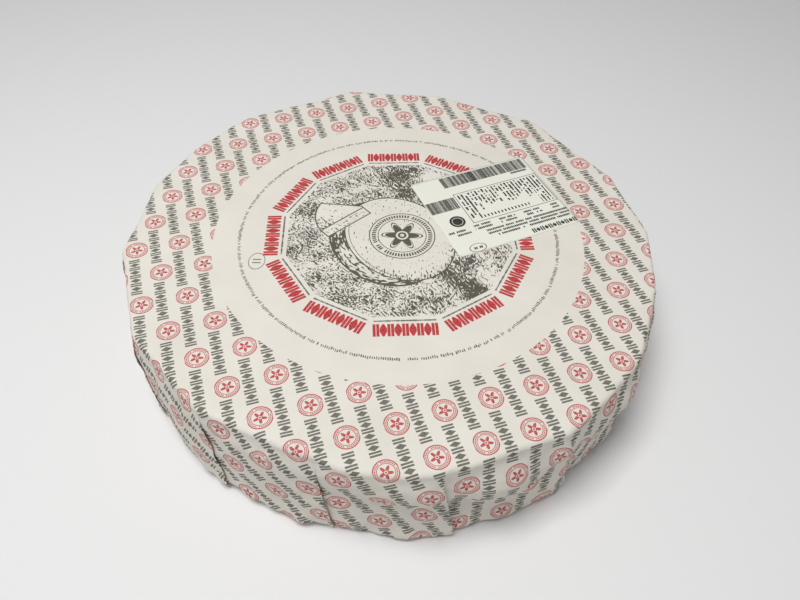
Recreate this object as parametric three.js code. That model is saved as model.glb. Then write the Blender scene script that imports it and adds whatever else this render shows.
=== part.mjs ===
// A wheel of mountain cheese in its printed paper wrapper, with an adhesive label on top.
//
// Millimetres, +Z up. The origin is the centre of the flat underside, where the wheel rests.
// The paper is folded over the rim in flat facets: the spare width at each corner between two
// facets lies against the wall as a wedge-shaped pleat, and the ends are turned under.
import * as THREE from "three";

// Cheese
const cheeseDiameter = 374;
const cheeseHeight = 78;
const cheeseEdgeRadius = 12;
const heelHollow = 2.5;

// Paper
const paperThickness = 0.7;
const clearance = 0.3;
const facetCount = 16;
const creaseRadius = 3;
const pleatRootWidth = 2;
const pleatThickness = 1.2;
const undersideOpeningDiameter = 150;

// Label, seen from above with its long side along its own X
const labelWidth = 101;
const labelDepth = 88;
const labelThickness = 0.2;
const labelCornerRadius = 1.5;
const labelX = 78.5;
const labelY = 34.5;
const labelTurn = THREE.MathUtils.degToRad(24.5);

// Faceting of the curved surfaces
const cheeseSides = 96;
const arcSteps = 3;

// Stack and rim, worked out from the sizes above
const cheeseRadius = cheeseDiameter / 2;
const cheeseBottom = paperThickness + clearance;
const cheeseTop = cheeseBottom + cheeseHeight;
const wrapHeight = cheeseTop + clearance + paperThickness;
const innerApothem = cheeseRadius + clearance;
const outerApothem = innerApothem + paperThickness;
const facetAngle = (2 * Math.PI) / facetCount;
const pleatHeight = wrapHeight - creaseRadius;

const finish = {
  paper: new THREE.MeshStandardMaterial({ color: 0xe4ded7, roughness: 0.85, metalness: 0 }),
  rind: new THREE.MeshStandardMaterial({ color: 0xb9803f, roughness: 0.75, metalness: 0 }),
  label: new THREE.MeshStandardMaterial({ color: 0xf1f1ea, roughness: 0.5, metalness: 0 }),
};

// Points of a quarter circle about (x, y), from one angle to another, ends included.
function arc(x, y, radius, from, to, steps) {
  const points = [];
  for (let i = 0; i <= steps; i += 1) {
    const angle = from + ((to - from) * i) / steps;
    points.push(new THREE.Vector2(x + radius * Math.cos(angle), y + radius * Math.sin(angle)));
  }
  return points;
}

// One solid of revolution: flat faces, rounded edges and a heel that is slightly hollow.
function cheeseWheel() {
  const edgeX = cheeseRadius - cheeseEdgeRadius;
  const heelSpan = cheeseHeight - 2 * cheeseEdgeRadius;
  const heel = [];
  for (let i = 1; i < 2 * arcSteps; i += 1) {
    const t = i / (2 * arcSteps);
    const depth = heelHollow * Math.sin(Math.PI * t);
    heel.push(new THREE.Vector2(cheeseRadius - depth, cheeseEdgeRadius + heelSpan * t));
  }
  const profile = [
    new THREE.Vector2(0, 0),
    ...arc(edgeX, cheeseEdgeRadius, cheeseEdgeRadius, -Math.PI / 2, 0, arcSteps),
    ...heel,
    ...arc(edgeX, cheeseHeight - cheeseEdgeRadius, cheeseEdgeRadius, 0, Math.PI / 2, arcSteps),
    new THREE.Vector2(0, cheeseHeight),
  ];
  const geometry = new THREE.LatheGeometry(profile, cheeseSides);
  geometry.rotateX(Math.PI / 2);
  const mesh = new THREE.Mesh(geometry, finish.rind);
  mesh.name = "cheese_wheel";
  mesh.position.z = cheeseBottom;
  return mesh;
}

// Half width of one facet at a distance from the axis along its middle line.
function facetHalfWidth(apothem) {
  return apothem * Math.tan(facetAngle / 2);
}

// How far a pleat's free edge lies past its corner, at a height on the wall. The spare paper
// grows with the distance below the rim, and half of it shows as the flap's width.
function pleatWidth(z) {
  const drop = Math.max(0, pleatHeight - z);
  return pleatRootWidth + drop * Math.tan(facetAngle / 2);
}

// How far a pleat stands out from the wall: nothing at the rim and on the underside.
function pleatRise(z) {
  const low = Math.min(1, z / creaseRadius);
  const high = Math.min(1, Math.max(0, (pleatHeight - z) / (pleatHeight / 2)));
  return pleatThickness * low * high;
}

// The section of the wrapper: [distance from the axis along a facet's middle, height, outside].
// It runs from the axis over the top, down the wall and under to the opening, then back inside.
function wrapSection() {
  const openingRadius = undersideOpeningDiameter / 2;
  const outerX = outerApothem - creaseRadius;
  const innerCrease = creaseRadius - paperThickness;
  const top = wrapHeight - creaseRadius;
  const outside = [
    ...arc(outerX, top, creaseRadius, Math.PI / 2, 0, arcSteps),
    new THREE.Vector2(outerApothem, wrapHeight / 2),
    ...arc(outerX, creaseRadius, creaseRadius, 0, -Math.PI / 2, arcSteps),
    new THREE.Vector2(openingRadius, 0),
  ];
  const inside = [
    new THREE.Vector2(openingRadius, paperThickness),
    ...arc(outerX, creaseRadius, innerCrease, -Math.PI / 2, 0, arcSteps),
    ...arc(outerX, top, innerCrease, 0, Math.PI / 2, arcSteps),
  ];
  return [
    ...outside.map((point) => ({ x: point.x, z: point.y, outer: true })),
    ...inside.map((point) => ({ x: point.x, z: point.y, outer: false })),
  ];
}

// The points of one facet at one row of the section, along the facet from its first corner:
// the corner, the pleat's free edge on top, its foot on the wall, then two points of plain wall.
function facetRow(row) {
  const half = facetHalfWidth(row.x);
  const flap = Math.min(pleatWidth(row.z), half);
  const step = pleatThickness / 2;
  const rise = row.outer ? pleatRise(row.z) : 0;
  const plain = (2 * half - flap - step) / 3;
  return [
    { along: -half, out: 0 },
    { along: -half + flap, out: rise },
    { along: -half + flap + step, out: 0 },
    { along: -half + flap + step + plain, out: 0 },
    { along: -half + flap + step + 2 * plain, out: 0 },
  ];
}

// All the points of one row of the section, round the wheel, in order.
function ringPoints(row) {
  const points = [];
  for (let facet = 0; facet < facetCount; facet += 1) {
    const middle = (facet + 0.5) * facetAngle;
    for (const { along, out } of facetRow(row)) {
      const reach = row.x + out;
      points.push(
        reach * Math.cos(middle) - along * Math.sin(middle),
        reach * Math.sin(middle) + along * Math.cos(middle),
        row.z,
      );
    }
  }
  return points;
}

// The wrapper is one thin closed shell, open in the middle of the underside.
function paperWrap() {
  const section = wrapSection();
  const positions = section.flatMap(ringPoints);
  const ringSize = positions.length / 3 / section.length;
  const topCentre = positions.length / 3;
  const innerCentre = topCentre + 1;
  positions.push(0, 0, wrapHeight, 0, 0, wrapHeight - paperThickness);
  const faces = [];
  for (let i = 0; i < ringSize; i += 1) {
    const next = (i + 1) % ringSize;
    faces.push(topCentre, i, next);
    for (let row = 0; row < section.length - 1; row += 1) {
      const near = row * ringSize;
      const far = near + ringSize;
      faces.push(near + i, far + i, far + next);
      faces.push(near + i, far + next, near + next);
    }
    const last = (section.length - 1) * ringSize;
    faces.push(innerCentre, last + next, last + i);
  }
  const geometry = new THREE.BufferGeometry();
  geometry.setAttribute("position", new THREE.Float32BufferAttribute(positions, 3));
  geometry.setIndex(faces);
  geometry.computeVertexNormals();
  const mesh = new THREE.Mesh(geometry, finish.paper);
  mesh.name = "paper_wrap";
  return mesh;
}

// A rectangle with small round corners, about its own middle.
function roundedRectangle(width, depth, radius) {
  const x = width / 2;
  const y = depth / 2;
  const shape = new THREE.Shape();
  shape.moveTo(-x + radius, -y);
  shape.lineTo(x - radius, -y);
  shape.absarc(x - radius, -y + radius, radius, -Math.PI / 2, 0, false);
  shape.lineTo(x, y - radius);
  shape.absarc(x - radius, y - radius, radius, 0, Math.PI / 2, false);
  shape.lineTo(-x + radius, y);
  shape.absarc(-x + radius, y - radius, radius, Math.PI / 2, Math.PI, false);
  shape.lineTo(-x, -y + radius);
  shape.absarc(-x + radius, -y + radius, radius, Math.PI, Math.PI * 1.5, false);
  return shape;
}

// The adhesive label lies flat on the paper.
function productLabel() {
  const outline = roundedRectangle(labelWidth, labelDepth, labelCornerRadius);
  const geometry = new THREE.ExtrudeGeometry(outline, {
    depth: labelThickness,
    bevelEnabled: false,
    curveSegments: arcSteps,
  });
  const mesh = new THREE.Mesh(geometry, finish.label);
  mesh.name = "product_label";
  mesh.rotation.z = labelTurn;
  mesh.position.set(labelX, labelY, wrapHeight + clearance);
  return mesh;
}

const wheel = new THREE.Group();
wheel.add(cheeseWheel(), paperWrap(), productLabel());

export default wheel;
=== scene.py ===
"""A wheel of mountain cheese in its printed paper wrapper, with an adhesive label on top.

Everything is in metres in the CAD frame: the origin is the centre of the underside and +Z is up.
The wrapper is one flat sheet, folded. Each of its points keeps its place on the flat sheet in the
UV map "sheet", in metres from the middle of the print, and the printed patterns are worked out
from that place, so that they bend and hide with the folds. The printed marks are all generic.
"""

import math

import bmesh
import bpy
import numpy as np
from mathutils import Matrix, Vector, noise


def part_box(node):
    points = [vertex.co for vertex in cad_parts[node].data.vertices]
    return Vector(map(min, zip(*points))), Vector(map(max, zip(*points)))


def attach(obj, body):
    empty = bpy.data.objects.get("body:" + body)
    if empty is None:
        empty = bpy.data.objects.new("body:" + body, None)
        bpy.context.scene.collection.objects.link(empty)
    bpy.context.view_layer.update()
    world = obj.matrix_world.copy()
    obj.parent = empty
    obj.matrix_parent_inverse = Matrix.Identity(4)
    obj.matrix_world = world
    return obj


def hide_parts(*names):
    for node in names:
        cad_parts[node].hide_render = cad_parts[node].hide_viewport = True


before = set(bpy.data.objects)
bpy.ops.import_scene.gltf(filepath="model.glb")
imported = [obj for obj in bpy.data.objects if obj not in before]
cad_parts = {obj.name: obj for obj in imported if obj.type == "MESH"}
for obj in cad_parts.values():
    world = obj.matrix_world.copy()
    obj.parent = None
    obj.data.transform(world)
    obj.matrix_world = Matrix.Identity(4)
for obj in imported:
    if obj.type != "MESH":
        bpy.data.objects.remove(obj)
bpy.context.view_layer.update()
wrap_low, wrap_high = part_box("paper_wrap")
label_low, label_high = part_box("product_label")
cheese_low, cheese_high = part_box("cheese_wheel")

MM = 0.001

# Without a seed Blender shifts some of its noise by the clock, and each run would crumple the
# paper and dimple the rind a little differently.
NOISE_SEED = 7
noise.seed_set(NOISE_SEED)

# ---------------------------------------------------------------------------------------------
# Sizes of the folded sheet

TOP = wrap_high.z
CHEESE_RADIUS = (cheese_high.x - cheese_low.x) / 2
CHEESE_EDGE = 12 * MM
PAPER_THICK = 0.14 * MM
PAPER_GAP = 0.25 * MM  # least gap from the cheese to the middle of the paper

PRINT_CENTRE = np.array([6.6, -2.1]) * MM
SHEET_SIDE = 660 * MM
SHEET_CORNER = 352 * MM  # from the sheet's middle to the cuts across its corners
SHEET_TURN = math.radians(19.3)

CREASE = 3.2 * MM  # radius of the fold round the rim
BODY_RADIUS = 188.6 * MM
ROUND_DEPTH = 34 * MM  # how far below the rim its corners have faded into the round wheel
SHOULDER_DEPTH = 24 * MM
BELLY_DEPTH = 50 * MM
FOOT_DEPTH = 80 * MM
UNDER_LEFT = 0.80 * MM  # height of a strip's left edge where it is turned under the wheel
UNDER_RIGHT = 0.20 * MM
FOLD_GAP = 0.3 * MM  # how far a pleat's layers lie apart at their folds
UNDER_FOLD_GAP = 0.12 * MM

# The corners of the paper's rim, anticlockwise. First the azimuth in degrees and the distance
# from the axis in millimetres: a separate program worked these two out, from the photograph's
# outline and from points picked on it, and they were then rounded. The rest was chosen: the part
# of the spare angle that the upper layer of the pleat there covers, and how many millimetres the
# rim bows out of its chord on the way to the next corner. Then, for the pleat's upper layer,
# which comes up to the corner, how many millimetres it stands out at its shoulder, belly and
# foot, and the radius of its turn under. Last the same for the lower layer, which leaves the
# corner.
CORNERS = (
    (-171, 190.5, 0.50, 0.0, (1.8, 2.6, 2.2, 9), (0.8, 1.4, 1.0, 11)),
    (-147, 190.5, 0.45, 0.5, (2.2, 3.2, 2.6, 9), (1.2, 2.2, 1.6, 12)),
    (-124, 190.0, 0.40, 1.5, (2.4, 4.0, 3.4, 9), (1.0, 2.4, 1.8, 9)),
    (-101, 189.5, 0.42, 5.5, (3.4, 5.0, 4.6, 6), (2.0, 2.4, 2.8, 5)),
    (-80, 196.5, 0.36, 0.5, (6.6, 9.4, 10.5, 4), (5.6, 3.4, 7.0, 5)),
    (-57, 197.5, 0.42, 2.5, (8.2, 9.6, 8.4, 6), (6.6, 4.4, 5.0, 7)),
    (-35, 195.0, 0.46, 0.5, (7.0, 8.0, 6.0, 8), (4.4, 4.0, 3.4, 9)),
    (-16, 191.5, 0.50, 0.0, (4.4, 6.0, 4.0, 8), (2.6, 2.0, 0.0, 10)),
    (2, 191.5, 0.46, 0.0, (3.0, 4.4, 3.0, 8), (1.4, 1.4, -1.0, 10)),
    (22, 191.0, 0.50, 0.0, (2.4, 4.0, 2.6, 9), (0.8, 1.2, -1.0, 11)),
    (51, 192.5, 0.42, 0.0, (2.6, 4.6, 3.4, 8), (1.0, 1.6, 0.0, 10)),
    (78, 190.0, 0.50, 0.0, (2.2, 4.2, 3.0, 9), (0.8, 1.0, -1.2, 11)),
    (102, 194.5, 0.44, 0.0, (3.6, 5.2, 4.2, 8), (1.2, 1.6, 0.2, 9)),
    (132, 193.0, 0.50, 0.0, (2.8, 4.6, 3.2, 8), (1.0, 1.4, -0.8, 10)),
    (150, 190.5, 0.46, 0.0, (2.2, 4.0, 2.6, 9), (0.8, 1.2, -1.0, 11)),
    (166, 190.0, 0.50, 0.0, (2.0, 3.6, 2.2, 9), (0.8, 1.0, -1.0, 11)),
)

# Ledges where the paper of a strip, by its number, is folded across the wall: the middle and
# half the length of the ledge as parts of the strip's width, its depth below the rim, how much
# that grows across the strip, and how far the ledge stands out, in millimetres.
LEDGES = {
    3: (0.72, 0.5, 26, -16, 2.6),
    4: (0.45, 0.46, 31, 4, 6.0),
    5: (0.65, 0.6, 24, -14, 3.0),
    7: (0.5, 0.5, 30, 12, 2.2),
    10: (0.4, 0.55, 28, -10, 2.4),
    13: (0.6, 0.5, 30, 10, 2.2),
}

TOP_RINGS = 44
STRIP_COLUMNS = 29
CREASE_ROWS = 6
WALL_ROWS = 38
TURN_ROWS = 7
UNDER_ROWS = 12
# Places across a pleat's hidden layer, from the upper layer's edge to the lower layer's: the
# second and the last but one lie in the round of a fold.
PLEAT_SHARES = (0, 0.02, 0.05, 0.35, 0.65, 0.95, 0.98, 1)

LABEL_WIDTH = 101 * MM
LABEL_DEPTH = 88 * MM
LABEL_CORNER = 1.5 * MM
LABEL_THICK = 0.12 * MM
LABEL_TURN = math.radians(24.5)
LABEL_STEP = 2.5 * MM


# ---------------------------------------------------------------------------------------------
# Small helpers


def smooth(low, high, x):
    t = np.clip((np.asarray(x, float) - low) / (high - low), 0, 1)
    return t * t * (3 - 2 * t)


def unit(angle):
    return np.stack([np.cos(angle), np.sin(angle)], axis=-1)


def link(obj):
    bpy.context.scene.collection.objects.link(obj)
    return obj


def soft_noise(points, size, seed):
    """Smooth noise from -1 to 1 at each point."""
    flat = np.reshape(points, (-1, 3)) / size + seed
    values = [noise.noise(Vector(p)) for p in flat]
    return np.reshape(values, np.shape(points)[:-1])


def creased_noise(points, size, seed):
    """Noise with flat dents and sharp ridges between them, from about -1 to 1."""
    flat = np.reshape(points, (-1, 3)) / size + seed
    values = []
    for p in flat:
        place = Vector(p)
        place += noise.noise_vector(place * 0.8) * 0.5
        near = noise.voronoi(place, distance_metric="DISTANCE")[0]
        values.append(1 - 2 * (near[1] - near[0]))
    return np.reshape(values, np.shape(points)[:-1])


# ---------------------------------------------------------------------------------------------
# The folded sheet


def top_lift(x, y):
    """How far the paper on top lies above or below its even height."""
    places = np.stack([x, y, np.zeros_like(x)], axis=-1)
    even = 0.14 * soft_noise(places, 90 * MM, 3.1) + 0.06 * soft_noise(places, 28 * MM, 7.7)
    edge = smooth(150 * MM, 186 * MM, np.hypot(x, y))
    loose = 0.7 * soft_noise(places, 26 * MM, 9.2) + 0.4 * creased_noise(places, 17 * MM, 1.7)
    return (even + edge * loose) * MM


def rim_corner(index):
    azimuth, radius = CORNERS[index % len(CORNERS)][:2]
    return unit(math.radians(azimuth)) * radius * MM


class Strip:
    """The paper between two corners of the rim, which hangs from their chord."""

    def __init__(self, index):
        self.index = index
        start, end = rim_corner(index), rim_corner(index + 1)
        self.middle = (start + end) / 2
        self.half = np.linalg.norm(end - start) / 2
        self.along = (end - start) / (2 * self.half)
        self.out = np.array([self.along[1], -self.along[0]])
        self.bow = CORNERS[index][3] * MM
        self.lower = np.array(CORNERS[index][5], float) * MM
        self.upper = np.array(CORNERS[(index + 1) % len(CORNERS)][4], float) * MM

    def spare(self, after):
        """The angle of paper to spare at the corner between this strip and the one after it."""
        turn = math.atan2(after.out[1], after.out[0]) - math.atan2(self.out[1], self.out[0])
        return turn % (2 * math.pi)


STRIPS = [Strip(index) for index in range(len(CORNERS))]


def neighbour(strip, step):
    return STRIPS[(strip.index + step) % len(STRIPS)]


def edge_places(strip, depth):
    """Where the strip's left and right edges lie along its chord, at a depth below the rim. The
    part inside the rim, at a depth below 0, is mitred to its neighbours."""
    spare_left = neighbour(strip, -1).spare(strip)
    spare_right = strip.spare(neighbour(strip, 1))
    cover_left = CORNERS[strip.index][2]
    cover_right = CORNERS[(strip.index + 1) % len(CORNERS)][2]
    if depth < 0:
        left = -strip.half - depth * math.tan(spare_left / 2)
        right = strip.half + depth * math.tan(spare_right / 2)
    else:
        left = -strip.half + depth * math.tan(spare_left * (cover_left - 0.5))
        right = strip.half + depth * math.tan(spare_right * cover_right)
    return left, right


def least_radius(z):
    """How near the axis the paper may be at this height, outside the cheese."""
    low = cheese_low.z + CHEESE_EDGE
    high = cheese_high.z - CHEESE_EDGE
    past = np.maximum(np.maximum(low - z, z - high), 0)
    inset = CHEESE_EDGE - np.sqrt(np.maximum(CHEESE_EDGE**2 - past**2, 0))
    return np.where(past < CHEESE_EDGE, CHEESE_RADIUS + PAPER_GAP - inset, 0)


def off_the_cheese(points):
    """The points, moved out where they would be in the cheese."""
    radius = np.linalg.norm(points[..., :2], axis=-1)
    wanted = np.maximum(radius, least_radius(points[..., 2]))
    moved = points.copy()
    moved[..., :2] *= (wanted / np.maximum(radius, 1e-9))[..., None]
    return moved


def stand_out(depth, shoulder, belly, foot):
    """How far the wall stands out from the round body at a depth below the rim."""
    upper = shoulder * smooth(0, SHOULDER_DEPTH, depth)
    middle = (belly - shoulder) * smooth(0.5 * SHOULDER_DEPTH, BELLY_DEPTH, depth)
    lower = (foot - belly) * smooth(0.9 * BELLY_DEPTH, FOOT_DEPTH, depth)
    return upper + middle + lower


def ledge(strip, share, depth):
    """How far a ledge across the wall stands out."""
    if strip.index not in LEDGES:
        return 0
    middle, reach, level, slope, size = LEDGES[strip.index]
    across = 1 - smooth(0, reach, np.abs(share - middle))
    lip = (level + slope * (share - middle)) * MM
    down = smooth(0, 1, depth / lip) - smooth(0, 1, (depth - lip) / (4 * MM))
    return size * MM * across * down


def dents(points, depth):
    """How far crumpling moves the wall's paper out, which is least at the rim."""
    around = np.arctan2(points[..., 1], points[..., 0]) * BODY_RADIUS
    slanted = np.stack([around, depth * 0.5 + around * 0.35, np.zeros_like(around)], axis=-1)
    broad = 1.5 * soft_noise(points, 34 * MM, 11.3)
    creased = 0.8 * creased_noise(points, 27 * MM, 5.9) + 0.9 * creased_noise(slanted, 19 * MM, 3.6)
    fine = 0.42 * creased_noise(points, 11 * MM, 2.4)
    fade = smooth(0, 14 * MM, depth)
    gathers = np.maximum(0.35 + soft_noise(points, 11 * MM, 4.9) * 1.5, 0)
    foot = 2.6 * gathers * smooth(56 * MM, 74 * MM, depth)
    shift = (broad + creased) * fade + fine * smooth(-1 * MM, 8 * MM, depth)
    return (np.where(shift < 0, 0.35 * shift, shift) + foot) * MM


def ragged(plan):
    """The rim's places, moved in and out a little, as paper that is folded by hand."""
    places = np.column_stack([plan, np.zeros(len(plan))])
    shift = 1.0 * soft_noise(places, 18 * MM, 6.6) + 0.5 * creased_noise(places, 9 * MM, 4.3)
    return plan * (1 + shift * MM / np.linalg.norm(plan, axis=1))[:, None]


def room_on_sheet(places, direction):
    """How far each place on the flat sheet is from the sheet's edge, going in a direction."""
    axes = unit(SHEET_TURN + np.arange(4) * math.pi / 4)
    reach = np.array([SHEET_SIDE / 2, SHEET_CORNER] * 2)
    at = (places - PRINT_CENTRE) @ axes.T
    going = axes @ direction
    rooms = (np.sign(going) * reach - at) / going
    return rooms.min(axis=-1)


def bow_at(strip, share):
    return strip.bow * (1 - (2 * share - 1) ** 2)


def crease_rows(strip, share):
    """Rows of points round the fold of the rim."""
    rows = []
    bow = bow_at(strip, share)[:, None] * strip.out
    for angle in np.linspace(0, math.pi / 2, CREASE_ROWS + 1):
        inset = -CREASE * (1 - math.sin(angle))
        left, right = edge_places(strip, inset)
        slide = left + (right - left) * share
        plan = ragged(strip.middle + slide[:, None] * strip.along + inset * strip.out + bow)
        drop = CREASE * (1 - math.cos(angle))
        height = TOP - drop + top_lift(plan[:, 0], plan[:, 1])
        rows.append((np.column_stack([plan, height]), slide, np.full(len(share), inset)))
    return rows


def wall_rows(strip, share, wall, lift, standing):
    """Rows of points down the wall, which fade from the straight rim into the round body."""
    rows = []
    bow = bow_at(strip, share)[:, None] * strip.out
    for part in np.linspace(0, 1, WALL_ROWS + 1)[1:]:
        depth = wall * part
        left, right = edge_places(strip, float(np.mean(depth)))
        slide = left + (right - left) * share
        chord = ragged(strip.middle + slide[:, None] * strip.along + bow)
        reach = np.linalg.norm(chord, axis=1)
        roundness = smooth(0, ROUND_DEPTH, depth)
        radius = reach * (1 - roundness) + BODY_RADIUS * roundness
        radius = radius + stand_out(depth, *standing) + ledge(strip, share, depth)
        plan = chord / reach[:, None] * radius[:, None]
        height = TOP - CREASE - depth + lift * (1 - roundness)
        rows.append((np.column_stack([plan, height]), slide, depth))
    return rows


def strip_rows(strip):
    """The strip's points and their places on the flat sheet, as grids of rows from the rim in."""
    share = np.linspace(0, 1, STRIP_COLUMNS)
    ease = smooth(0, 1, share)
    *standing, turn = (
        lower * (1 - ease) + upper * ease for lower, upper in zip(strip.lower, strip.upper)
    )
    under = UNDER_LEFT + (UNDER_RIGHT - UNDER_LEFT) * share
    wall = TOP - CREASE - under - turn

    rows = crease_rows(strip, share)
    lift = rows[-1][0][:, 2] - (TOP - CREASE)
    rows += wall_rows(strip, share, wall, lift, standing)
    foot, slide, _ = rows[-1]
    for angle in np.linspace(0, math.pi / 2, TURN_ROWS + 1)[1:]:
        inward = turn * (1 - math.cos(angle))
        plan = foot[:, :2] - inward[:, None] * strip.out
        height = under + turn * (1 - math.sin(angle))
        rows.append((np.column_stack([plan, height]), slide, wall + turn * angle))

    points, slides, depths = (np.array(grid) for grid in zip(*rows))
    outward = points[..., :2] / np.linalg.norm(points[..., :2], axis=-1, keepdims=True)
    loose = np.ones(len(points))
    loose[-TURN_ROWS:] = 1 - smooth(0, 1, np.linspace(0, 1, TURN_ROWS + 1)[1:])
    points[..., :2] += outward * (dents(points, depths) * loose[:, None])[..., None]
    points = off_the_cheese(points)

    # the length of paper down each column, leaving out the column's sideways lean
    step = np.diff(points, axis=0)
    lean = step[..., :2] @ strip.along
    length = np.sqrt(np.maximum((step**2).sum(-1) - lean**2, 0))
    start = (points[:1, :, :2] - strip.middle) @ strip.out
    travel = np.cumsum(np.concatenate([start, length]), axis=0)

    last = strip.middle + slide[:, None] * strip.along + travel[-1][:, None] * strip.out
    room = room_on_sheet(last, strip.out)
    inner = points[-1][:, :2]
    under_points, under_travel = [], []
    for part in np.linspace(0, 1, UNDER_ROWS + 1)[1:]:
        plan = inner - (room * part)[:, None] * strip.out
        under_points.append(np.column_stack([plan, under]))
        under_travel.append(travel[-1] + room * part)
    points = np.concatenate([points, under_points])
    travel = np.concatenate([travel, under_travel])
    slides = np.concatenate([slides, np.tile(slide, (UNDER_ROWS, 1))])
    places = strip.middle + slides[..., None] * strip.along + travel[..., None] * strip.out
    return points, places


def pleat_rows(upper, lower):
    """The hidden layer of the pleat between the upper strip's right edge and the lower strip's
    left edge, from the foot of the rim's fold down."""
    start, start_place = (grid[CREASE_ROWS:, -1] for grid in upper)
    end, end_place = (grid[CREASE_ROWS:, 0] for grid in lower)
    shares = np.array(PLEAT_SHARES)
    row = np.arange(len(start))
    turned = np.clip((row - WALL_ROWS) / TURN_ROWS, 0, 1)
    depth = np.minimum(row / WALL_ROWS, 1) * FOOT_DEPTH
    gap = (FOLD_GAP + (UNDER_FOLD_GAP - FOLD_GAP) * turned) * smooth(0, 10 * MM, depth)
    gap = gap[:, None]

    angle = np.arctan2(start[:, 1], start[:, 0])
    level = np.cos(turned * math.pi / 2)
    inside = np.column_stack([-np.cos(angle) * level, -np.sin(angle) * level, np.sqrt(1 - level**2)])
    forward = np.column_stack([-np.sin(angle), np.cos(angle), np.zeros(len(row))])
    near = start + inside * gap
    far = end - inside * gap

    grid = np.empty((len(row), len(shares), 3))
    grid[:, 0] = start
    grid[:, 1] = start + (inside + forward) * gap / 2
    grid[:, -2] = end - (inside + forward) * gap / 2
    grid[:, -1] = end
    flat = turned == 1
    for column in range(2, len(shares) - 2):
        part = (column - 2) / (len(shares) - 5)
        straight = near * (1 - part) + far * part
        near_reach, far_reach, reach = (
            np.linalg.norm(p[:, :2], axis=1) for p in (near, far, straight)
        )
        curved = straight.copy()
        curved[:, :2] *= ((near_reach * (1 - part) + far_reach * part) / reach)[:, None]
        grid[:, column] = np.where(flat[:, None], straight, curved)
    across = shares[None, :, None]
    places = start_place[:, None] * (1 - across) + end_place[:, None] * across
    return grid, places


def top_rows(rim):
    """The sheet over the top, from its middle out to the points of its rim."""
    parts = np.linspace(0, 1, TOP_RINGS + 1)[1:]
    plan = rim[None, :, :2] * parts[:, None, None]
    height = TOP + top_lift(plan[..., 0], plan[..., 1])
    points = np.concatenate([plan, height[..., None]], axis=-1)
    points[-1] = rim
    return points, plan


def add_grid(bm, layer, points, places):
    """Adds a grid of quads to the mesh, each corner with its place on the flat sheet."""
    vertices = [[bm.verts.new(p) for p in row] for row in points]
    for r in range(len(vertices) - 1):
        for c in range(len(vertices[0]) - 1):
            corners = ((r, c), (r + 1, c), (r + 1, c + 1), (r, c + 1))
            face = bm.faces.new([vertices[i][j] for i, j in corners])
            for loop, (i, j) in zip(face.loops, corners):
                loop[layer].uv = places[i][j] - PRINT_CENTRE
    return vertices


def make_wrapper():
    """The folded sheet as one surface; its thickness and its printed and plain sides come later."""
    bm = bmesh.new()
    layer = bm.loops.layers.uv.new("sheet")
    grids = [strip_rows(strip) for strip in STRIPS]
    for points, places in grids:
        add_grid(bm, layer, points, places)
    for upper, lower in zip(grids, grids[1:] + grids[:1]):
        add_grid(bm, layer, *pleat_rows(upper, lower))
    rim = np.concatenate([points[0][:-1] for points, _ in grids])
    rim = np.concatenate([rim, rim[:1]])
    vertices = add_grid(bm, layer, *top_rows(rim))
    middle = bm.verts.new((0, 0, TOP))
    for before, after in zip(vertices[0], vertices[0][1:]):
        face = bm.faces.new((middle, before, after))
        for loop in face.loops:
            loop[layer].uv = np.array(loop.vert.co[:2]) - PRINT_CENTRE
    bmesh.ops.remove_doubles(bm, verts=bm.verts, dist=1e-6)
    for face in bm.faces:
        face.smooth = True
    mesh = bpy.data.meshes.new("paper_wrapper")
    bm.to_mesh(mesh)
    bm.free()
    return link(bpy.data.objects.new("paper_wrapper", mesh))


def give_thickness(obj, thickness):
    """Makes a sheet solid. Its inner side and rim take the material slot after the outer side's."""
    solid = obj.modifiers.new("thickness", "SOLIDIFY")
    solid.thickness = thickness
    solid.offset = 0
    solid.material_offset = 1
    solid.material_offset_rim = 1
    bpy.context.view_layer.objects.active = obj
    bpy.ops.object.modifier_apply(modifier=solid.name)


def lay_out_for_baking(obj, size):
    """Gives the piece the map its patterns are baked on: the outer side large, the rest small."""
    mesh = obj.data
    count = len(mesh.loops)
    places = np.empty(count * 2, np.float32)
    mesh.uv_layers["sheet"].data.foreach_get("uv", places)
    places = places.reshape(-1, 2) / size
    sides = np.empty(len(mesh.polygons), np.int32)
    mesh.polygons.foreach_get("material_index", sides)
    totals = np.empty(len(mesh.polygons), np.int32)
    mesh.polygons.foreach_get("loop_total", totals)
    outer = np.repeat(sides == 0, totals)[:, None]
    large = places * 0.8 + 0.41
    small = places * 0.16 + 0.905
    layer = mesh.uv_layers.new(name="OFBake")
    layer.data.foreach_set("uv", np.where(outer, large, small).astype(np.float32).ravel())


# ---------------------------------------------------------------------------------------------
# The label


def make_label():
    """The label, which follows the paper that it is stuck to."""
    turn = unit(LABEL_TURN)
    middle = (label_low + label_high) / 2
    columns, rows = round(LABEL_WIDTH / LABEL_STEP), round(LABEL_DEPTH / LABEL_STEP)
    bm = bmesh.new()
    bmesh.ops.create_grid(bm, x_segments=columns, y_segments=rows, size=0.5)
    for v in bm.verts:
        v.co.x *= LABEL_WIDTH
        v.co.y *= LABEL_DEPTH
    corners = [v for v in bm.verts if len(v.link_edges) == 2]
    bmesh.ops.bevel(bm, geom=corners, offset=LABEL_CORNER, segments=4, affect="VERTICES")
    layer = bm.loops.layers.uv.new("sheet")
    for face in bm.faces:
        face.smooth = True
        for loop in face.loops:
            loop[layer].uv = loop.vert.co[:2]
    for v in bm.verts:
        x = middle.x + v.co.x * turn[0] - v.co.y * turn[1]
        y = middle.y + v.co.x * turn[1] + v.co.y * turn[0]
        lift = float(top_lift(np.array([x]), np.array([y]))[0])
        v.co = (x, y, TOP + lift + PAPER_THICK / 2 + LABEL_THICK / 2 + 0.03 * MM)
    mesh = bpy.data.meshes.new("label")
    bm.to_mesh(mesh)
    bm.free()
    return link(bpy.data.objects.new("label", mesh))


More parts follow.
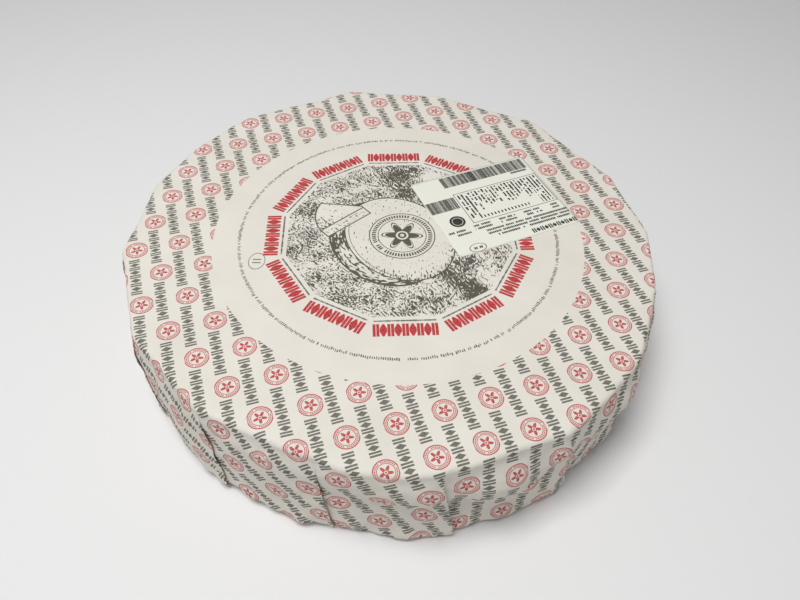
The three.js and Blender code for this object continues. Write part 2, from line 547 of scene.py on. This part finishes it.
# ---------------------------------------------------------------------------------------------
# Numbers on a surface, for the materials


class Number:
    """A number at each point of a surface, worked out by Math nodes. Python's signs work on it."""

    def __init__(self, tree, socket):
        self.tree = tree
        self.socket = socket

    def math(self, operation, *others, clamp=False):
        node = self.tree.nodes.new("ShaderNodeMath")
        node.operation = operation
        node.use_clamp = clamp
        for place, value in zip(node.inputs, (self, *others)):
            if isinstance(value, Number):
                self.tree.links.new(value.socket, place)
            else:
                place.default_value = value
        return Number(self.tree, node.outputs[0])

    def __add__(self, other):
        return self.math("ADD", other)

    def __sub__(self, other):
        return self.math("SUBTRACT", other)

    def __rsub__(self, other):
        return self.math("MULTIPLY_ADD", -1, other)

    def __mul__(self, other):
        return self.math("MULTIPLY", other)

    def __truediv__(self, other):
        return self.math("DIVIDE", other)

    def __abs__(self):
        return self.math("ABSOLUTE")

    __radd__ = __add__
    __rmul__ = __mul__


def least(first, *others):
    for other in others:
        first = first.math("MINIMUM", other)
    return first


def most(first, *others):
    for other in others:
        first = first.math("MAXIMUM", other)
    return first


def length(x, y):
    return (x * x + y * y).math("SQRT")


def turned(x, y, degrees):
    """The same point in axes turned by an angle."""
    c, s = math.cos(math.radians(degrees)), math.sin(math.radians(degrees))
    return x * c + y * s, y * c - x * s


def repeat(value, step):
    """(number of the nearest mark, distance past it) on a scale with a mark at each step."""
    number = (value / step).math("ROUND")
    return number, value - number * step


def box(x, y, x0, x1, y0, y1):
    """Distance outside a rectangle, which is below 0 inside it."""
    across = abs(x - (x0 + x1) / 2) - (x1 - x0) / 2
    up = abs(y - (y0 + y1) / 2) - (y1 - y0) / 2
    return most(across, up)


def ring(radius, inner, outer):
    """Distance outside a ring, from the distance to its centre."""
    return abs(radius - (inner + outer) / 2) - (outer - inner) / 2


def inked(distance, blur=0.12):
    """1 inside a shape and 0 outside it, with an edge as soft as print on paper."""
    return distance.math("MULTIPLY_ADD", -1 / blur, 0.5, clamp=True)


def chance(number, other=0.0):
    """A random number from 0 to 1 for each pair of whole numbers."""
    tree = number.tree
    joined = tree.nodes.new("ShaderNodeCombineXYZ")
    for place, value in zip(joined.inputs, (number + 0.5, other)):
        if isinstance(value, Number):
            tree.links.new(value.socket, place)
        else:
            place.default_value = value
    node = tree.nodes.new("ShaderNodeTexWhiteNoise")
    node.noise_dimensions = "2D"
    tree.links.new(joined.outputs[0], node.inputs["Vector"])
    return Number(tree, node.outputs["Value"])


def grain(x, y, size, detail=2.0, seed=0.0, roughness=0.5):
    """Noise from about 0 to 1 whose features are size across, at a point on the sheet."""
    tree = x.tree
    joined = tree.nodes.new("ShaderNodeCombineXYZ")
    tree.links.new(x.socket, joined.inputs[0])
    tree.links.new(y.socket, joined.inputs[1])
    joined.inputs[2].default_value = seed * size
    node = tree.nodes.new("ShaderNodeTexNoise")
    node.inputs["Scale"].default_value = 1 / size
    node.inputs["Detail"].default_value = detail
    node.inputs["Roughness"].default_value = roughness
    tree.links.new(joined.outputs[0], node.inputs["Vector"])
    return Number(tree, node.outputs["Fac"])


class Paint:
    """A material in the making: its place numbers, its colour so far and its bump."""

    def __init__(self, name, rgb, roughness, gloss):
        self.material = bpy.data.materials.new(name)
        self.material.use_nodes = True
        self.tree = self.material.node_tree
        self.shader = self.tree.nodes["Principled BSDF"]
        self.shader.inputs["Roughness"].default_value = roughness
        self.shader.inputs["Specular IOR Level"].default_value = gloss
        self.rgb = rgb
        self.colour = None

    def place(self, uv_map):
        """The place on the flat sheet, in millimetres."""
        node = self.tree.nodes.new("ShaderNodeUVMap")
        node.uv_map = uv_map
        split = self.tree.nodes.new("ShaderNodeSeparateXYZ")
        self.tree.links.new(node.outputs[0], split.inputs[0])
        return [Number(self.tree, split.outputs[i]) * (1 / MM) for i in (0, 1)]

    def cover(self, amount, rgb):
        """Lays a colour over the one so far, where amount is 1."""
        node = self.tree.nodes.new("ShaderNodeMix")
        node.data_type = "RGBA"
        self.tree.links.new(amount.socket, node.inputs["Factor"])
        start, end = [s for s in node.inputs if s.type == "RGBA"]
        if self.colour is None:
            start.default_value = (*self.rgb, 1)
        else:
            self.tree.links.new(self.colour, start)
        end.default_value = (*rgb, 1)
        self.colour = [s for s in node.outputs if s.type == "RGBA"][0]

    def rough(self, value):
        self.tree.links.new(value.socket, self.shader.inputs["Roughness"])

    def bump(self, height, distance, strength=1.0):
        node = self.tree.nodes.new("ShaderNodeBump")
        node.inputs["Strength"].default_value = strength
        node.inputs["Distance"].default_value = distance
        self.tree.links.new(height.socket, node.inputs["Height"])
        self.tree.links.new(node.outputs[0], self.shader.inputs["Normal"])

    def done(self):
        self.tree.links.new(self.colour, self.shader.inputs["Base Color"])
        return self.material


def linear(r, g, b):
    """A colour as the shader takes it, from its screen value of 0 to 255."""
    return tuple((v / 255 / 1.055 + 0.0521) ** 2.4 for v in (r, g, b))


# ---------------------------------------------------------------------------------------------
# The printed wrapper

PAPER = linear(232, 228, 219)
PAPER_SHADE = linear(217, 211, 198)
GREY_INK = linear(104, 103, 92)
PICTURE_INK = linear(88, 86, 75)
RED_INK = linear(186, 20, 34)

# In millimetres and degrees on the flat sheet, from the middle of the print. The stamps are the
# small rosettes, and beside each runs a row of ornament.
STAMP_TURN = -70.7  # direction of the columns of stamps
STAMP_PITCH = 53.9
COLUMN_PITCH = 14.67
FIRST_STAMP = 44.8
FIRST_COLUMN = -168.4
PATTERN_START = 134.5  # radius where the stamps begin, outside the blank disc
STAMP_OUTER = 7.7
ROW_START = 9.0
ROW_END = 44.0
ROW_SIDE = -2.3
ROW_HALF = 3.6
ROW_COUNT = 9

TICK_RADIUS = 115.5
SECTOR_START = 94.0
SECTOR_ANGLE = 30.0


def ornament(x, y, x0, x1, half, count, fullness=1.0):
    """Distance outside a row of pairs of bars and lozenges, turn and turn about, along x."""
    pitch = (x1 - x0) / count
    number, off = repeat(x - (x0 + pitch / 2), pitch)
    odd = number.math("FLOORED_MODULO", 2)
    bars = most(abs(abs(off) - 0.25 * pitch) - 0.165 * pitch * fullness, abs(y) - half)
    lozenge = (abs(off) / (0.5 * pitch) + abs(y) / half - fullness) * (0.32 * pitch)
    return most(bars * (1 - odd) + lozenge * odd, box(x, y, x0, x1, -half, half))


def stamps(x, y):
    """(red, grey) distances outside the repeating rosettes and the rows of ornament by them."""
    along, across = turned(x, y, STAMP_TURN)
    column, off = repeat(across - FIRST_COLUMN, COLUMN_PITCH)
    odd = column.math("FLOORED_MODULO", 2)
    shift = 17.7  # keeps a stamp and its row of ornament in one repeat
    row, place = repeat(along - FIRST_STAMP - odd * (STAMP_PITCH / 2) - shift, STAMP_PITCH)
    place = place + shift
    radius = length(place, off)
    angle = off.math("ARCTAN2", place)
    outline = ring(radius, STAMP_OUTER - 0.75, STAMP_OUTER)
    inner = ring(radius, 5.0, 5.45)
    tick, turn = repeat(angle, math.tau / 34)
    gap = chance(tick, 3.0).math("LESS_THAN", 0.1)
    ticks = most(ring(radius, 5.85, 6.6), abs(turn) * 6.3 - 0.4 + gap * 3)
    petal = (angle * 5).math("COSINE")
    flower = radius - 2.9 - petal * 1.35
    hollow = 1.1 - radius
    heart = radius - 0.6
    red = least(outline, inner, ticks, most(flower, hollow), heart)
    grey = ornament(place, off - ROW_SIDE, ROW_START, ROW_END, ROW_HALF, ROW_COUNT)
    return red, grey


def tick_ring(radius, angle):
    """Distance outside the thin ring of small ticks, with gaps here and there."""
    number, off = repeat(angle, math.tau / 520)
    gap = chance(number, 5.0).math("LESS_THAN", 0.14)
    high = 0.75 + chance(number, 6.0) * 0.5
    wide = 0.3 + chance(number, 7.0) * 0.22
    shift = (chance(number, 9.0) - 0.5) * 0.9
    return most(abs(off) * TICK_RADIUS - wide + gap * 3, abs(radius - TICK_RADIUS + shift) - high)


def medallion(x, y):
    """(red, grey) distances outside the print's twelve-sided border, and the reach to its sides."""
    angle = y.math("ARCTAN2", x) * (180 / math.pi)
    sector, off = repeat(angle - SECTOR_START, SECTOR_ANGLE)
    radius = length(x, y)
    turn = off * (math.pi / 180)
    apothem = radius * turn.math("COSINE")
    side = radius * turn.math("SINE")
    red = ornament(side * -1, apothem - 91.9, -21.4, 21.4, 5.1, 9, 1.25)
    number, _ = repeat(side, 1.1)
    thick = 0.35 + chance(number, sector) * 0.4
    line = most(abs(apothem - 84.3) - thick, abs(side) - 20.4)
    return red, line, apothem


def ground_tone(x, y):
    """How dark the ground round the drawn cheese is, from 0 to 1."""
    broad = grain(x, y, 15, 2, 4)
    tone = 0.43 + (broad - 0.5) * 1.5
    behind = inked(box(x, y, -11, 13, 30, 90), 16) * 0.34
    side_x, side_y = turned(x - 48, y + 51, -58)
    beside = inked(box(side_x, side_y, -23, 23, -10, 10), 8) * 0.36
    bright = inked(length(x - 27, (y - 64) * 0.8) - 9, 7) + inked(length(x - 66, y + 45) - 9, 8)
    return tone + behind + beside - bright * 0.45


def engraving(x, y):
    """How much of the ground is inked: short strokes that follow its tone."""
    bend = grain(x, y, 8, 1, 9) * 9
    strokes = grain((x + bend) * 1.3, (y - bend) * 0.46, 1.35, 1, 2)
    leaves = grain(x + bend, y - bend, 1.5, 1, 6)
    wooded = inked(x + y * 0.4 + 18 + (bend - 4.5) * 3, 14)
    marks = strokes + (leaves - strokes) * wooded
    field = (marks - 0.5) * 3.4 + ground_tone(x, y)
    return (field - 0.5).math("MULTIPLY_ADD", 4.0, 0.5, clamp=True)


def tilted_ellipse(x, y, x0, y0):
    """Distance outside the outline of the drawn wheel's face, moved to a new middle."""
    along, across = turned(x - x0, y - y0, -56)
    return length(along * 0.896, across * 1.115) - 41.5


def drawn_cheese(x, y):
    """(ink, blank area) of the plain wheel drawn in the middle of the print."""
    face = tilted_ellipse(x, y, 0.5, -4.6)
    side = tilted_ellipse(x, y, -10, -9.8)
    outline = least(abs(face) - 0.46, most(abs(face + 3) - 0.24, x + y * 0.5 + 16))
    outline = least(outline, most(abs(side) - 0.75, face * -1))
    angle = (y + 7).math("ARCTAN2", x + 6)
    strokes = grain(angle * 13, side * 0.9, 1.6, 1, 14)
    near = inked(abs(side + 1) - 2.5, 6) + inked(abs(face - 0.5) - 0.8, 4) * 0.6
    shadow = inked(length(x + 41, y + 9) - 8, 9) * 0.5
    field = (strokes - 0.5) * 3.2 + near * 0.4 + shadow + 0.27
    shade = (field - 0.5).math("MULTIPLY_ADD", 3.5, 0.5, clamp=True) * inked(most(side, face * -1))
    turf = grain(x * 1.4, y * 0.4, 1.5, 1, 21)
    low = inked(face * -1 - 5, 7) * inked(y + 26 - x * 0.35, 16)
    field = (turf - 0.5) * 3.4 + low * 0.5 - 0.12
    stubble = (field - 0.5).math("MULTIPLY_ADD", 3.5, 0.5, clamp=True) * inked(face)
    seal_x, seal_y = x - 2.5, y + 2.8
    radius = length(seal_x, seal_y)
    seal = least(ring(radius, 23.5, 24.3), ring(radius, 17.3, 17.9))
    around = seal_y.math("ARCTAN2", seal_x)
    number, off = repeat(around, math.tau / 64)
    gap = chance(number, 8.0).math("LESS_THAN", 0.1)
    ticks = most(abs(off) * 20.7 - 0.62 + gap * 4, abs(radius - 20.7) - 1.5)
    petal = (around * 6).math("COSINE")
    flower = abs(radius - 10.2 - petal * 4.6) - 0.6
    leaves = most(radius - 9 - petal * 3.6, 4.6 - radius)
    marks = least(outline, seal, ticks, flower, leaves, ring(radius, 1.6, 3.2))
    return most(inked(marks), shade, stubble), inked(least(face, side), 0.2)


def drawn_wedge(x, y):
    """(ink, blank area) of the plain wedge of cheese drawn beside the wheel."""
    u, v = turned(x + 42.5, y - 13.5, 43)
    cut = box(u, v, -20, 20, -8.7, 0)
    top = most(length(x + 32, y - 18) - 31, y - 29.5 + (x + 44) * 0.07, v * -1, u - 20)
    crumbs = grain(u * 0.7, v, 1.6, 1, 31).math("GREATER_THAN", 0.6) * inked(cut + 1) * 0.8
    shaded = inked(length(x + 54, y - 5) - 9, 13)
    field = (grain(u, v * 0.5, 1.5, 1, 33) - 0.5) * 3.2 + shaded * 0.45 - 0.05
    strokes = (field - 0.5).math("MULTIPLY_ADD", 3.5, 0.5, clamp=True) * inked(top) * inked(cut * -1)
    outline = least(abs(cut) - 0.5, most(abs(top) - 0.5, cut * -1))
    return most(inked(outline), crumbs, strokes), inked(least(cut, top), 0.2)


def wrapper_paint():
    paint = Paint("printed_wrapping_paper", PAPER, 0.62, 0.14)
    x, y = paint.place("sheet")
    radius = length(x, y)
    angle = y.math("ARCTAN2", x)

    stamp_red, stamp_grey = stamps(x, y)
    away = PATTERN_START - radius
    border_red, border_grey, apothem = medallion(x, y)
    oval = length((x + 98.8) * 1.4, y + 33.5)
    small_oval = least(abs(oval - 7.9) - 0.35, most(abs(abs(y + 33.5) - 1.6) - 0.5, abs(x + 98.8) - 3))
    drawn = least(border_grey, tick_ring(radius, angle), small_oval)

    cheese_ink, cheese_blank = drawn_cheese(x, y)
    wedge_ink, wedge_blank = drawn_wedge(x, y)
    ground = engraving(x, y) * inked(apothem - 80.8, 0.3)
    picture = most(ground * (1 - cheese_blank), cheese_ink)
    picture = most(picture * (1 - wedge_blank), wedge_ink)

    worn = grain(x, y, 0.9, 2, 40)
    strength = worn.math("MULTIPLY_ADD", 0.5, 0.68, clamp=True)
    grey = most(inked(most(stamp_grey, away)), inked(drawn)) * strength
    red = most(inked(most(stamp_red, away), 0.2) * 0.93, inked(border_red, 0.2)) * strength

    fibres = grain(x, y, 0.5, 3, 51)
    blotches = grain(x, y, 38, 3, 52)
    tint = (blotches - 0.5) * 1.1 + (fibres - 0.5) * 0.5 + 0.3
    paint.cover(tint.math("MULTIPLY", 1, clamp=True), PAPER_SHADE)
    paint.cover(grey, GREY_INK)
    paint.cover(picture * (strength * 0.3 + 0.7), PICTURE_INK)
    paint.cover(red, RED_INK)
    paint.rough(0.55 + fibres * 0.18)
    crinkle = grain(x, y, 9, 3, 61, 0.62)
    edge = (radius - 150).math("DIVIDE", 40, clamp=True)
    paint.bump(crinkle * (0.7 + edge * 0.9) + fibres * 0.12, 0.6 * MM, 0.6)
    return paint.done()


def inside_paint():
    paint = Paint("plain_side_of_paper", PAPER, 0.7, 0.1)
    x, y = paint.place("sheet")
    fibres = grain(x, y, 0.5, 3, 51)
    blotches = grain(x, y, 30, 3, 55)
    paint.cover((blotches - 0.4) * 0.8 + fibres * 0.3, PAPER_SHADE)
    paint.bump(fibres, 0.1 * MM, 0.3)
    return paint.done()


# ---------------------------------------------------------------------------------------------
# The label's print

LABEL_WHITE = linear(238, 238, 226)
LABEL_SHADE = linear(228, 228, 215)
LABEL_INK = linear(34, 34, 31)


def bars(x, step, seed):
    """Distance outside upright bars of random widths, side by side along x."""
    number, off = repeat(x, step)
    width = chance(number, seed)
    return abs(off) - (0.2 + width * 0.34) * step


def dashes(x, y, x0, x1, y0, y1, seed):
    """Distance outside a line of small blocks that stands for a line of print."""
    number, off = repeat(x, 1.4)
    gap = chance(number, seed).math("LESS_THAN", 0.16)
    high = (y1 - y0) * (0.38 + chance(number, seed + 20) * 0.16)
    block = most(abs(off) - 0.56 + gap * 3, abs(y - (y0 + y1) / 2) - high)
    return most(block, box(x, y, x0, x1, y0, y1))


def label_table(x, y):
    """Distance outside the table: an outline and rows of short upright lines of print."""
    outline = abs(box(x, y, -24.4, 48.7, -15, 20.2)) - 0.25
    column, off = repeat(x + 21.6, 2.95)
    reach = chance(column, 1.5) * 15 - 4 - inked(x + 8, 2) * 9
    row, _ = repeat(y, 1.35)
    gap = chance(column, row).math("LESS_THAN", 0.24)
    print_width = 0.48 + chance(column, row * 1.7 + 40) * 0.4
    upper = most(abs(off) - print_width + gap * 3, reach - y, abs(y - 3) - 15.6)
    full = most(abs(off) - print_width + gap * 3, abs(x - 42) - 4.6, abs(y - 2.5) - 16)
    ticks = most(abs(off) - 0.6, abs(y + 11) - 1.4, abs(x - 4) - 22)
    return least(outline, most(least(upper, full, ticks), abs(x - 12.3) - 35.3))


def label_paint():
    paint = Paint("coated_label", LABEL_WHITE, 0.42, 0.3)
    x, y = paint.place("sheet")
    marks = [
        most(bars(x, 0.93, 11.0), box(x, y, -27, 47.5, 29.5, 42)),
        most(bars(x, 0.7, 12.0), box(x, y, -50, -25.9, 4.1, 17.6)),
        dashes(x, y, 31, 46, 26.3, 28.7, 13.0),
        label_table(x, y),
        dashes(x, y, -47.5, -33.6, -20.7, -18.4, 14.0),
        dashes(x, y, -42, -30.7, -24.4, -22.2, 15.0),
    ]
    for index, (x0, x1) in enumerate(((-26.4, -12.4), (-4.7, 8.8), (16.5, 31), (40, 46))):
        marks.append(dashes(x, y, x0, x1, -19.5, -17.3, 16.0 + index))
        marks.append(dashes(x, y, x0, x1, -22.9, -20.7, 24.0 + index))
    for index, (x0, high) in enumerate(((-19.6, -25.1), (-19.6, -28.5), (-13, -31.9))):
        marks.append(dashes(x, y, x0, 49.7, high - 2.1, high, 32.0 + index))
    marks.append(ornament(x, y + 39.4, 11.6, 50.2, 2.3, 11))
    spot = length(x + 35.2, y + 9.1)
    marks += [spot - 3.9, ring(spot, 4.3, 6.1)]
    oval = length((x + 33.9) / 1.55, y + 39.7)
    marks += [ring(oval, 3.9, 4.3), dashes(x, y, -38, -30, -41, -38.6, 36.0)]
    ink = inked(least(*marks), 0.16)
    worn = grain(x, y, 0.7, 2, 7)
    paint.cover((grain(x, y, 24, 2, 3) - 0.3) * 0.9, LABEL_SHADE)
    paint.cover(ink * worn.math("MULTIPLY_ADD", 0.3, 0.82, clamp=True), LABEL_INK)
    paint.rough(0.36 + worn * 0.14)
    paint.bump(grain(x, y, 14, 2, 5) + worn * 0.05, 0.3 * MM, 0.25)
    return paint.done()


# ---------------------------------------------------------------------------------------------
# The cheese

RIND = linear(186, 132, 74)
RIND_DARK = linear(128, 82, 40)
RIND_PALE = linear(214, 178, 126)
CHEESE_SIDES = 220
FLAT_RINGS = 34
EDGE_STEPS = 8
HEEL_STEPS = 20
HEEL_HOLLOW = 2.5 * MM


def cheese_profile():
    """(distance from the axis, height) down the cheese's section, from the top's middle."""
    low, high = cheese_low.z, cheese_high.z
    flat = CHEESE_RADIUS - CHEESE_EDGE
    top = [(flat * k / FLAT_RINGS, high) for k in range(1, FLAT_RINGS)]
    edge = []
    for k in range(EDGE_STEPS + 1):
        angle = math.pi / 2 * k / EDGE_STEPS
        edge.append((flat + CHEESE_EDGE * math.sin(angle), high - CHEESE_EDGE * (1 - math.cos(angle))))
    heel = []
    for k in range(1, HEEL_STEPS):
        part = k / HEEL_STEPS
        height = high - CHEESE_EDGE - (high - low - 2 * CHEESE_EDGE) * part
        heel.append((CHEESE_RADIUS - HEEL_HOLLOW * math.sin(math.pi * part), height))
    below = [(r, low + high - z) for r, z in reversed(top + edge)]
    return top + edge + heel + below


def make_cheese():
    """The cheese: a turned shape whose rind is dimpled by cloth, boards and handling."""
    profile = np.array(cheese_profile())
    turn = unit(np.arange(CHEESE_SIDES) * math.tau / CHEESE_SIDES)
    plan = profile[:, None, :1] * turn[None]
    height = np.broadcast_to(profile[:, None, 1:], (len(profile), CHEESE_SIDES, 1))
    points = np.concatenate([plan, height], axis=-1)
    dimples = 0.5 + 0.35 * creased_noise(points, 9 * MM, 2.2) + 0.3 * soft_noise(points, 40 * MM, 8.8)
    middle = np.array([0, 0, (cheese_low.z + cheese_high.z) / 2])
    squeeze = 1 - np.clip(dimples, 0, 1.2)[..., None] * 0.7 * MM / np.array([0.19, 0.19, 0.039])
    points = middle + (points - middle) * squeeze
    bm = bmesh.new()
    rings = [[bm.verts.new(p) for p in row] for row in points]
    for upper, lower in zip(rings, rings[1:]):
        for k in range(CHEESE_SIDES):
            after = (k + 1) % CHEESE_SIDES
            bm.faces.new((upper[k], lower[k], lower[after], upper[after]))
    for ring_of_points, step in ((rings[0], 1), (rings[-1], -1)):
        centre = bm.verts.new((0, 0, ring_of_points[0].co.z))
        for k in range(CHEESE_SIDES):
            pair = (ring_of_points[k], ring_of_points[(k + 1) % CHEESE_SIDES])
            bm.faces.new((centre, *pair[::step]))
    for face in bm.faces:
        face.smooth = True
    mesh = bpy.data.meshes.new("cheese")
    bm.to_mesh(mesh)
    bm.free()
    return link(bpy.data.objects.new("cheese", mesh))


def rind_noise(paint, scale, detail, seed):
    tree = paint.tree
    place = tree.nodes.new("ShaderNodeTexCoord")
    node = tree.nodes.new("ShaderNodeTexNoise")
    node.noise_dimensions = "4D"
    node.inputs["W"].default_value = seed
    node.inputs["Scale"].default_value = scale
    node.inputs["Detail"].default_value = detail
    tree.links.new(place.outputs["Object"], node.inputs["Vector"])
    return Number(tree, node.outputs["Fac"])


def rind_paint():
    paint = Paint("washed_rind", RIND, 0.6, 0.3)
    broad = rind_noise(paint, 14, 4, 1)
    bloom = rind_noise(paint, 60, 5, 2)
    fine = rind_noise(paint, 420, 3, 3)
    paint.cover((broad - 0.42).math("MULTIPLY", 3.2, clamp=True), RIND_DARK)
    paint.cover((bloom - 0.52).math("MULTIPLY", 4.0, clamp=True) * 0.7, RIND_PALE)
    paint.rough(0.5 + fine * 0.25)
    paint.bump(fine * 0.5 + bloom, 0.6 * MM, 0.6)
    return paint.done()


# ---------------------------------------------------------------------------------------------
# Pieces

cheese = make_cheese()
cheese.data.materials.append(rind_paint())
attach(cheese, "root")
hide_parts("cheese_wheel")

wrapper = make_wrapper()
wrapper.data.materials.append(wrapper_paint())
wrapper.data.materials.append(inside_paint())
give_thickness(wrapper, PAPER_THICK)
lay_out_for_baking(wrapper, SHEET_SIDE * 1.5)
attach(wrapper, "root")
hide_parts("paper_wrap")

label = make_label()
label.data.materials.append(label_paint())
label.data.materials.append(inside_paint())
give_thickness(label, LABEL_THICK)
lay_out_for_baking(label, LABEL_WIDTH * 1.02)
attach(label, "root")
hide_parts("product_label")

# ---------------------------------------------------------------------------------------------
# Floor, light and camera


def make_floor():
    mesh = bpy.data.meshes.new("floor")
    reach = 4
    corners = [(-reach, -reach, 0), (reach, -reach, 0), (reach, reach, 0), (-reach, reach, 0)]
    mesh.from_pydata(corners, [], [(0, 1, 2, 3)])
    floor = link(bpy.data.objects.new("floor", mesh))
    material = bpy.data.materials.new("floor")
    material.use_nodes = True
    shader = material.node_tree.nodes["Principled BSDF"]
    shader.inputs["Base Color"].default_value = (0.84, 0.84, 0.84, 1)
    shader.inputs["Roughness"].default_value = 0.9
    mesh.materials.append(material)


make_floor()


def soft_light(name, place, target, size, energy):
    lamp = link(bpy.data.objects.new(name, bpy.data.lights.new(name, "AREA")))
    lamp.data.size = size
    lamp.data.energy = energy
    lamp.location = place
    lamp.rotation_euler = (Vector(target) - Vector(place)).to_track_quat("-Z", "Y").to_euler()


# one large soft light, up and to the left of the camera, and an even white surround
soft_light("key", (-0.27, -0.26, 1.42), (0, 0, 0.05), 0.6, 15.3)
world = bpy.data.worlds.new("world")
bpy.context.scene.world = world
world.use_nodes = True
background = world.node_tree.nodes["Background"]
background.inputs["Color"].default_value = (1, 1, 1, 1)
background.inputs["Strength"].default_value = 0.27

scene = bpy.context.scene
scene.view_settings.view_transform = "Standard"
# the camera fitted to the photograph's round print
camera = link(bpy.data.objects.new("camera", bpy.data.cameras.new("camera")))
camera.matrix_world = (
    Matrix.Translation((0.00885, -0.35874, 0.4051))
    @ Matrix.Rotation(math.radians(41.77), 4, "X")
    @ Matrix.Rotation(math.radians(1.596), 4, "Z")
)
camera.data.lens = 29.42
scene.camera = camera
